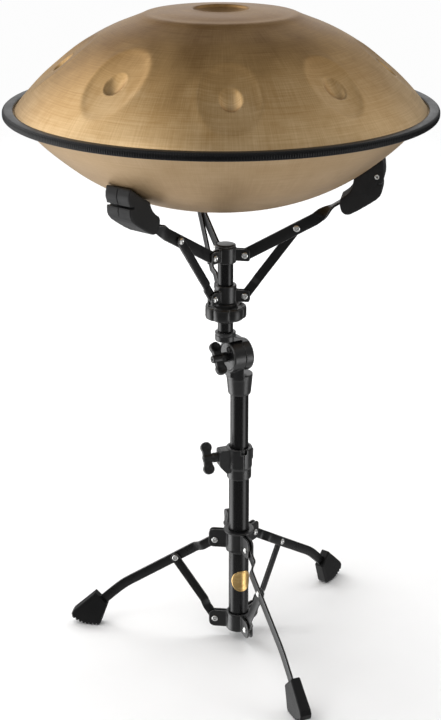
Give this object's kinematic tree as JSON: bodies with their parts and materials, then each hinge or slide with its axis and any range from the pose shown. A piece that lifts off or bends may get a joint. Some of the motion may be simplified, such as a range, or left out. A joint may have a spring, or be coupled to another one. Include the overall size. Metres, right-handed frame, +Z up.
{
  "type": "handpan on stand",
  "caption": "Steel handpan with concave tone fields and a rubber rim trim, resting on a height-adjustable folding tripod stand with a three-arm basket, tilter and rubber grips.",
  "frame": {"origin": "on the floor, straight below the centre of the handpan; the lower column's axis stands at x 25.5 mm, y 7.2 mm", "axes": "+Z up; the object is seen from -Y, with +X to the viewer's right; azimuths run counter-clockwise from +X"},
  "size_m": [0.56, 0.56, 0.9084],
  "materials": {
    "bronze": "brushed, heat-tinted bronze brown sheet steel",
    "trim_rubber": "satin ribbed rubber trim",
    "black_coat": "satin black powder coat",
    "gloss_black": "gloss black tube",
    "cast_black": "black coated alloy casting",
    "nylon": "black nylon",
    "rubber": "charcoal matte rubber",
    "nickel": "nickel-plated rivet",
    "gold": "plain satin gold foil disc"
  },
  "bodies": {
    "stand_base": {"lower_tube": "gloss_black", "height_clamp": "cast_black", "base_collar": "cast_black", "badge": "gold", "base_rivet_1": "nickel", "base_rivet_2": "nickel", "base_rivet_3": "nickel"},
    "column_swivel": {"tube_bushing": "nylon"},
    "upper_column": {"upper_tube": "gloss_black", "tilter_lower": "cast_black"},
    "clamp_wing": {"clamp_wing": "nylon"},
    "tilter_wing": {"tilter_wing": "nylon"},
    "basket_head": {"tilter_upper": "cast_black", "basket_post": "gloss_black", "post_cap": "nylon", "basket_hub": "cast_black", "hub_rivet_1": "nickel", "hub_rivet_2": "nickel", "hub_rivet_3": "nickel"},
    "basket_slider": {"basket_slider": "cast_black", "slider_rivet_1": "nickel", "slider_rivet_2": "nickel", "slider_rivet_3": "nickel"},
    "basket_knob": {"basket_knob": "nylon"},
    "handpan": {"top_shell": "bronze", "bottom_shell": "bronze", "rim_trim": "trim_rubber"},
    "leg_collar": {"leg_collar": "cast_black", "collar_rivet_1": "nickel", "collar_rivet_2": "nickel", "collar_rivet_3": "nickel"},
    "leg_lock_screw": {"leg_lock_screw": "nylon"},
    "basket_arm_1": {"basket_arm_1": "black_coat", "arm_grip_1": "rubber", "arm_rivet_1": "nickel"},
    "basket_brace_1": {"basket_brace_1": "black_coat"},
    "leg_1": {"leg_1": "black_coat", "foot_1": "rubber", "leg_rivet_1": "nickel"},
    "leg_brace_1": {"leg_brace_1": "black_coat"},
    "basket_arm_2": {"basket_arm_2": "black_coat", "arm_grip_2": "rubber", "arm_rivet_2": "nickel"},
    "basket_brace_2": {"basket_brace_2": "black_coat"},
    "leg_2": {"leg_2": "black_coat", "foot_2": "rubber", "leg_rivet_2": "nickel"},
    "leg_brace_2": {"leg_brace_2": "black_coat"},
    "basket_arm_3": {"basket_arm_3": "black_coat", "arm_grip_3": "rubber", "arm_rivet_3": "nickel"},
    "basket_brace_3": {"basket_brace_3": "black_coat"},
    "leg_3": {"leg_3": "black_coat", "foot_3": "rubber", "leg_rivet_3": "nickel"},
    "leg_brace_3": {"leg_brace_3": "black_coat"}
  },
  "joints": [
    {"name": "column_turn", "type": "hinge", "parent": "stand_base", "child": "column_swivel", "pos_m": [0.0255, 0.0072, 0.295], "axis": [0, 0, 1], "continuous": true},
    {"name": "height_slide", "type": "slide", "parent": "column_swivel", "child": "upper_column", "axis": [0, 0, 1], "range_m": [-0.079, 0.055], "stiffness_N_per_m": 60000},
    {"name": "clamp_wing_turn", "type": "hinge", "parent": "stand_base", "child": "clamp_wing", "pos_m": [-0.01275, -0.00449, 0.2905], "axis": [-0.9563, -0.2924, 0], "continuous": true},
    {"name": "tilter_wing_turn", "type": "hinge", "parent": "upper_column", "child": "tilter_wing", "pos_m": [0.0255, 0.0072, 0.4405], "axis": [0.866, 0.5, 0], "continuous": true},
    {"name": "basket_tilt", "type": "hinge", "parent": "upper_column", "child": "basket_head", "pos_m": [0.0255, 0.0072, 0.4405], "axis": [0.866, 0.5, 0], "range_deg": [-60, 60], "stiffness_Nm_per_rad": 250},
    {"name": "basket_spread", "type": "slide", "parent": "basket_head", "child": "basket_slider", "axis": [0, 0, 1], "range_m": [-0.009, 0], "stiffness_N_per_m": 60000},
    {"name": "basket_knob_turn", "type": "hinge", "parent": "basket_slider", "child": "basket_knob", "pos_m": [0.006, 0, 0.5035], "axis": [0, 0, 1], "range_deg": [-1081, 1], "stiffness_Nm_per_rad": 1},
    {"name": "handpan_lift", "type": "slide", "parent": "basket_head", "child": "handpan", "axis": [0, 0, 1], "range_m": [0, 0.12]},
    {"name": "leg_fold", "type": "slide", "parent": "stand_base", "child": "leg_collar", "axis": [0, 0, 1], "range_m": [0, 0.045]},
    {"name": "leg_lock_turn", "type": "hinge", "parent": "leg_collar", "child": "leg_lock_screw", "pos_m": [0.01205, 0.03951, 0.1635], "axis": [-0.3843, 0.9232, 0], "continuous": true},
    {"name": "basket_arm_1_fold", "type": "hinge", "parent": "basket_head", "child": "basket_arm_1", "pos_m": [0.03205, -0.00431, 0.5861], "axis": [0.1633, 0.9866, 0], "range_deg": [-0.05, 11.02]},
    {"name": "basket_brace_1_fold", "type": "hinge", "parent": "basket_slider", "child": "basket_brace_1", "pos_m": [0.03205, -0.00431, 0.5291], "axis": [0.1633, 0.9866, 0], "range_deg": [-0.05, 3.86]},
    {"name": "basket_arm_2_fold", "type": "hinge", "parent": "basket_head", "child": "basket_arm_2", "pos_m": [-0.00329, 0.02471, 0.5861], "axis": [-0.9361, -0.3518, 0], "range_deg": [-0.05, 11.02]},
    {"name": "basket_brace_2_fold", "type": "hinge", "parent": "basket_slider", "child": "basket_brace_2", "pos_m": [-0.00329, 0.02471, 0.5291], "axis": [-0.9361, -0.3518, 0], "range_deg": [-0.05, 3.86]},
    {"name": "basket_arm_3_fold", "type": "hinge", "parent": "basket_head", "child": "basket_arm_3", "pos_m": [-0.01076, -0.0204, 0.5861], "axis": [0.7727, -0.6347, 0], "range_deg": [-0.05, 11.02]},
    {"name": "basket_brace_3_fold", "type": "hinge", "parent": "basket_slider", "child": "basket_brace_3", "pos_m": [-0.01076, -0.0204, 0.5291], "axis": [0.7727, -0.6347, 0], "range_deg": [-0.05, 3.86]},
    {"name": "leg_1_fold", "type": "hinge", "parent": "leg_collar", "child": "leg_1", "pos_m": [0.04624, 0.03433, 0.1564], "axis": [-0.7944, 0.6074, 0], "range_deg": [-0.05, 40.39]},
    {"name": "leg_brace_1_fold", "type": "hinge", "parent": "stand_base", "child": "leg_brace_1", "pos_m": [0.04624, 0.03433, 0.0282], "axis": [-0.7944, 0.6074, 0], "range_deg": [-22.25, 0.05]},
    {"name": "leg_2_fold", "type": "hinge", "parent": "leg_collar", "child": "leg_2", "pos_m": [-0.00837, 0.0116, 0.1564], "axis": [-0.1288, -0.9917, 0], "range_deg": [-0.05, 40.39]},
    {"name": "leg_brace_2_fold", "type": "hinge", "parent": "stand_base", "child": "leg_brace_2", "pos_m": [-0.00837, 0.0116, 0.0282], "axis": [-0.1288, -0.9917, 0], "range_deg": [-22.25, 0.05]},
    {"name": "leg_3_fold", "type": "hinge", "parent": "leg_collar", "child": "leg_3", "pos_m": [0.03862, -0.02433, 0.1564], "axis": [0.9232, 0.3843, 0], "range_deg": [-0.05, 40.39]},
    {"name": "leg_brace_3_fold", "type": "hinge", "parent": "stand_base", "child": "leg_brace_3", "pos_m": [0.03862, -0.02433, 0.0282], "axis": [0.9232, 0.3843, 0], "range_deg": [-22.25, 0.05]}
  ],
  "couplings": [
    {"joint": "basket_knob_turn", "follows": "basket_spread", "rad_per_m": 2094.4},
    {"joint": "basket_arm_1_fold", "follows": "basket_spread", "rad_per_m": -21.279},
    {"joint": "basket_brace_1_fold", "follows": "basket_spread", "rad_per_m": -7.3802},
    {"joint": "basket_arm_2_fold", "follows": "basket_spread", "rad_per_m": -21.279},
    {"joint": "basket_brace_2_fold", "follows": "basket_spread", "rad_per_m": -7.3802},
    {"joint": "basket_arm_3_fold", "follows": "basket_spread", "rad_per_m": -21.279},
    {"joint": "basket_brace_3_fold", "follows": "basket_spread", "rad_per_m": -7.3802},
    {"joint": "leg_1_fold", "follows": "leg_fold", "rad_per_m": 15.646},
    {"joint": "leg_brace_1_fold", "follows": "leg_fold", "rad_per_m": -8.6103},
    {"joint": "leg_2_fold", "follows": "leg_fold", "rad_per_m": 15.646},
    {"joint": "leg_brace_2_fold", "follows": "leg_fold", "rad_per_m": -8.6103},
    {"joint": "leg_3_fold", "follows": "leg_fold", "rad_per_m": 15.646},
    {"joint": "leg_brace_3_fold", "follows": "leg_fold", "rad_per_m": -8.6103}
  ]
}
